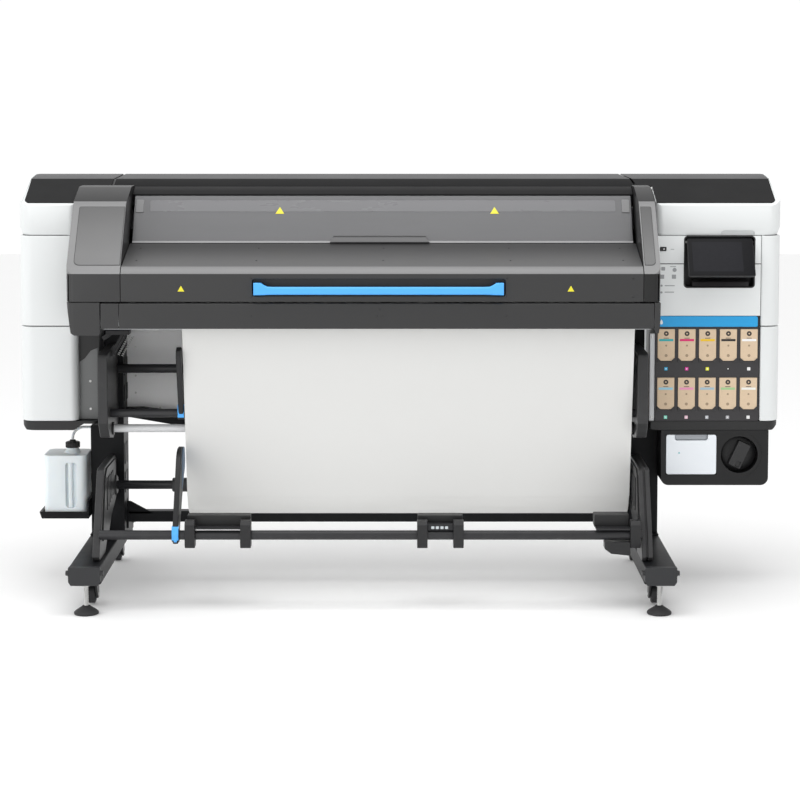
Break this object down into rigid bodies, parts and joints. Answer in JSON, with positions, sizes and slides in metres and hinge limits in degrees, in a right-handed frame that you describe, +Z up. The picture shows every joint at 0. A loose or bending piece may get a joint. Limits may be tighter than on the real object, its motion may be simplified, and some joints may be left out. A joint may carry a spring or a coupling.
{
  "type": "roll-fed sign printer with inner cutter",
  "caption": "Wide roll-fed sign printer with an inner cutter, lifting front module, ink cartridges, display, take-up and supply rolls, on a levelled stand with casters.",
  "frame": {"origin": "on the floor, under the middle of the whole machine's box", "axes": "+Z up, operator on the -Y side, +X to the operator's right along the print width"},
  "size_m": [2.583, 0.852, 1.402],
  "materials": {
    "left_leg": "satin black powder coat",
    "right_leg": "satin black powder coat",
    "foot_bolts": "blackened steel",
    "cross_members": "satin black powder coat",
    "side_arms": "satin dark grey",
    "takeup_drive": "moulded dark grey",
    "tower_columns": "moulded white, fine texture",
    "tower_caps": "moulded white, fine texture",
    "tower_bases": "moulded black",
    "front_panel": "moulded white",
    "ink_bay": "moulded black",
    "service_box": "moulded black",
    "waste_tray": "satin black",
    "waste_bottle": "translucent milky plastic",
    "drain_hose": "clear flexible tube",
    "output_panel": "moulded dark grey",
    "rear_cover": "satin dark grey",
    "top_cover": "moulded dark grey",
    "chassis": "folded sheet and extrusion",
    "platen": "anodised",
    "media_web": "matt coated banner media",
    "module_cover": "moulded dark grey",
    "module_side_caps": "moulded dark grey",
    "handle": "blue soft gloss",
    "window": "smoky clear plastic",
    "display": "black glass front",
    "power_switch": "black",
    "ink_cartridge": "uncoated kraft board",
    "maintenance_cartridge": "white",
    "service_knob": "black",
    "bottle_cap": "black, ribbed",
    "carriage": "dark grey",
    "cutter": "blue holder with a steel blade",
    "drive_roller": "grip coated",
    "pinch_rollers": "black rubber",
    "guide_bar": "polished tube",
    "takeup_roll": "wound media",
    "takeup_spindle": "satin black",
    "supply_roll": "wound media",
    "lower_edge_guide": "dark grey",
    "upper_edge_guide": "dark grey",
    "levelling_foot": "black pad on a zinc stud",
    "caster": "black",
    "wheel": "black tread"
  },
  "bodies": {
    "frame": {"left_leg": "left_leg", "right_leg": "right_leg", "foot_bolts": "foot_bolts", "cross_members": "cross_members", "side_arms": "side_arms", "takeup_drive": "takeup_drive", "tower_columns": "tower_columns", "tower_caps": "tower_caps", "tower_bases": "tower_bases", "front_panel": "front_panel", "ink_bay": "ink_bay", "service_box": "service_box", "waste_tray": "waste_tray", "waste_bottle": "waste_bottle", "drain_hose": "drain_hose", "output_panel": "output_panel", "rear_cover": "rear_cover", "top_cover": "top_cover", "chassis": "chassis", "platen": "platen", "media_web": "media_web"},
    "curing_module": {"module_cover": "module_cover", "module_side_caps": "module_side_caps", "handle": "handle"},
    "window": {"window": "window"},
    "display": {"display": "display"},
    "power_switch": {"power_switch": "power_switch"},
    "ink_cartridge_1": {"ink_cartridge_1": "ink_cartridge"},
    "ink_cartridge_2": {"ink_cartridge_2": "ink_cartridge"},
    "ink_cartridge_3": {"ink_cartridge_3": "ink_cartridge"},
    "ink_cartridge_4": {"ink_cartridge_4": "ink_cartridge"},
    "ink_cartridge_5": {"ink_cartridge_5": "ink_cartridge"},
    "ink_cartridge_6": {"ink_cartridge_6": "ink_cartridge"},
    "ink_cartridge_7": {"ink_cartridge_7": "ink_cartridge"},
    "ink_cartridge_8": {"ink_cartridge_8": "ink_cartridge"},
    "ink_cartridge_9": {"ink_cartridge_9": "ink_cartridge"},
    "ink_cartridge_10": {"ink_cartridge_10": "ink_cartridge"},
    "maintenance_cartridge": {"maintenance_cartridge": "maintenance_cartridge"},
    "service_knob": {"service_knob": "service_knob"},
    "bottle_cap": {"bottle_cap": "bottle_cap"},
    "carriage": {"carriage": "carriage"},
    "cutter": {"cutter": "cutter"},
    "drive_roller": {"drive_roller": "drive_roller"},
    "pinch_rollers": {"pinch_rollers": "pinch_rollers"},
    "guide_bar": {"guide_bar": "guide_bar"},
    "takeup": {"takeup_roll": "takeup_roll", "takeup_spindle": "takeup_spindle"},
    "supply": {"supply_roll": "supply_roll"},
    "lower_edge_guide": {"lower_edge_guide": "lower_edge_guide"},
    "upper_edge_guide": {"upper_edge_guide": "upper_edge_guide"},
    "left_levelling_foot": {"left_levelling_foot": "levelling_foot"},
    "right_levelling_foot": {"right_levelling_foot": "levelling_foot"},
    "front_left_caster": {"front_left_caster": "caster"},
    "front_left_wheel": {"front_left_wheel": "wheel"},
    "front_right_caster": {"front_right_caster": "caster"},
    "front_right_wheel": {"front_right_wheel": "wheel"},
    "rear_left_caster": {"rear_left_caster": "caster"},
    "rear_left_wheel": {"rear_left_wheel": "wheel"},
    "rear_right_caster": {"rear_right_caster": "caster"},
    "rear_right_wheel": {"rear_right_wheel": "wheel"}
  },
  "joints": [
    {"name": "module_lift", "type": "hinge", "parent": "frame", "child": "curing_module", "pos_m": [0, 0.108, 1.358], "axis": [-1, 0, 0], "range_deg": [0, 38]},
    {"name": "window_lift", "type": "hinge", "parent": "curing_module", "child": "window", "pos_m": [0, 0.052, 1.334], "axis": [-1, 0, 0], "range_deg": [0, 60]},
    {"name": "display_tilt", "type": "hinge", "parent": "frame", "child": "display", "pos_m": [1.088, -0.01, 1.184], "axis": [-1, 0, 0], "range_deg": [-30, 12]},
    {"name": "power_rock", "type": "hinge", "parent": "frame", "child": "power_switch", "pos_m": [0.89, -0.018, 1.161], "axis": [0, 0, 1], "range_deg": [0, 6]},
    {"name": "ink_slide_1", "type": "slide", "parent": "frame", "child": "ink_cartridge_1", "axis": [0, -1, 0], "range_m": [0, 0.24]},
    {"name": "ink_slide_2", "type": "slide", "parent": "frame", "child": "ink_cartridge_2", "axis": [0, -1, 0], "range_m": [0, 0.24]},
    {"name": "ink_slide_3", "type": "slide", "parent": "frame", "child": "ink_cartridge_3", "axis": [0, -1, 0], "range_m": [0, 0.24]},
    {"name": "ink_slide_4", "type": "slide", "parent": "frame", "child": "ink_cartridge_4", "axis": [0, -1, 0], "range_m": [0, 0.24]},
    {"name": "ink_slide_5", "type": "slide", "parent": "frame", "child": "ink_cartridge_5", "axis": [0, -1, 0], "range_m": [0, 0.24]},
    {"name": "ink_slide_6", "type": "slide", "parent": "frame", "child": "ink_cartridge_6", "axis": [0, -1, 0], "range_m": [0, 0.24]},
    {"name": "ink_slide_7", "type": "slide", "parent": "frame", "child": "ink_cartridge_7", "axis": [0, -1, 0], "range_m": [0, 0.24]},
    {"name": "ink_slide_8", "type": "slide", "parent": "frame", "child": "ink_cartridge_8", "axis": [0, -1, 0], "range_m": [0, 0.24]},
    {"name": "ink_slide_9", "type": "slide", "parent": "frame", "child": "ink_cartridge_9", "axis": [0, -1, 0], "range_m": [0, 0.24]},
    {"name": "ink_slide_10", "type": "slide", "parent": "frame", "child": "ink_cartridge_10", "axis": [0, -1, 0], "range_m": [0, 0.24]},
    {"name": "maintenance_slide", "type": "slide", "parent": "frame", "child": "maintenance_cartridge", "axis": [0, -1, 0], "range_m": [0, 0.25]},
    {"name": "service_turn", "type": "hinge", "parent": "frame", "child": "service_knob", "pos_m": [1.156, -0.022, 0.458], "axis": [0, 1, 0], "range_deg": [0, 90]},
    {"name": "cap_turn", "type": "hinge", "parent": "frame", "child": "bottle_cap", "pos_m": [-1.135, 0.108, 0.47], "axis": [0, 0, 1], "range_deg": [0, 120]},
    {"name": "carriage_slide", "type": "slide", "parent": "frame", "child": "carriage", "axis": [-1, 0, 0], "range_m": [0, 1.4]},
    {"name": "cutter_drop", "type": "slide", "parent": "carriage", "child": "cutter", "axis": [0, 0, -1], "range_m": [0, 0.004], "stiffness_N_per_m": 400, "springref_m": -0.002},
    {"name": "drive_spin", "type": "hinge", "parent": "frame", "child": "drive_roller", "pos_m": [0, 0.096, 0.9796], "axis": [1, 0, 0], "continuous": true},
    {"name": "pinch_spin", "type": "hinge", "parent": "frame", "child": "pinch_rollers", "pos_m": [0, 0.096, 1.0112], "axis": [1, 0, 0], "continuous": true},
    {"name": "guide_spin", "type": "hinge", "parent": "frame", "child": "guide_bar", "pos_m": [0, -0.062, 0.556], "axis": [1, 0, 0], "continuous": true},
    {"name": "takeup_spin", "type": "hinge", "parent": "frame", "child": "takeup", "pos_m": [0, 0.018, 0.347], "axis": [1, 0, 0], "continuous": true},
    {"name": "supply_spin", "type": "hinge", "parent": "frame", "child": "supply", "pos_m": [0, 0.308, 0.7], "axis": [1, 0, 0], "continuous": true},
    {"name": "lower_guide_slide", "type": "slide", "parent": "frame", "child": "lower_edge_guide", "axis": [-1, 0, 0], "range_m": [0, 0.2]},
    {"name": "upper_guide_slide", "type": "slide", "parent": "frame", "child": "upper_edge_guide", "axis": [-1, 0, 0], "range_m": [0, 0.2]},
    {"name": "left_level", "type": "slide", "parent": "frame", "child": "left_levelling_foot", "axis": [0, 0, 1], "range_m": [-0.02, 0]},
    {"name": "right_level", "type": "slide", "parent": "frame", "child": "right_levelling_foot", "axis": [0, 0, 1], "range_m": [-0.02, 0]},
    {"name": "front_left_swivel", "type": "hinge", "parent": "frame", "child": "front_left_caster", "pos_m": [-1.02, -0.276, 0.085], "axis": [0, 0, 1], "continuous": true},
    {"name": "front_left_roll", "type": "hinge", "parent": "front_left_caster", "child": "front_left_wheel", "pos_m": [-1.02, -0.254, 0.034], "axis": [1, 0, 0], "continuous": true},
    {"name": "front_right_swivel", "type": "hinge", "parent": "frame", "child": "front_right_caster", "pos_m": [0.843, -0.276, 0.085], "axis": [0, 0, 1], "continuous": true},
    {"name": "front_right_roll", "type": "hinge", "parent": "front_right_caster", "child": "front_right_wheel", "pos_m": [0.843, -0.254, 0.034], "axis": [1, 0, 0], "continuous": true},
    {"name": "rear_left_swivel", "type": "hinge", "parent": "frame", "child": "rear_left_caster", "pos_m": [-1.02, 0.364, 0.085], "axis": [0, 0, 1], "continuous": true},
    {"name": "rear_left_roll", "type": "hinge", "parent": "rear_left_caster", "child": "rear_left_wheel", "pos_m": [-1.02, 0.386, 0.03], "axis": [1, 0, 0], "continuous": true},
    {"name": "rear_right_swivel", "type": "hinge", "parent": "frame", "child": "rear_right_caster", "pos_m": [0.843, 0.364, 0.085], "axis": [0, 0, 1], "continuous": true},
    {"name": "rear_right_roll", "type": "hinge", "parent": "rear_right_caster", "child": "rear_right_wheel", "pos_m": [0.843, 0.386, 0.03], "axis": [1, 0, 0], "continuous": true}
  ],
  "couplings": [
    {"joint": "pinch_spin", "follows": "drive_spin", "ratio": -2}
  ]
}
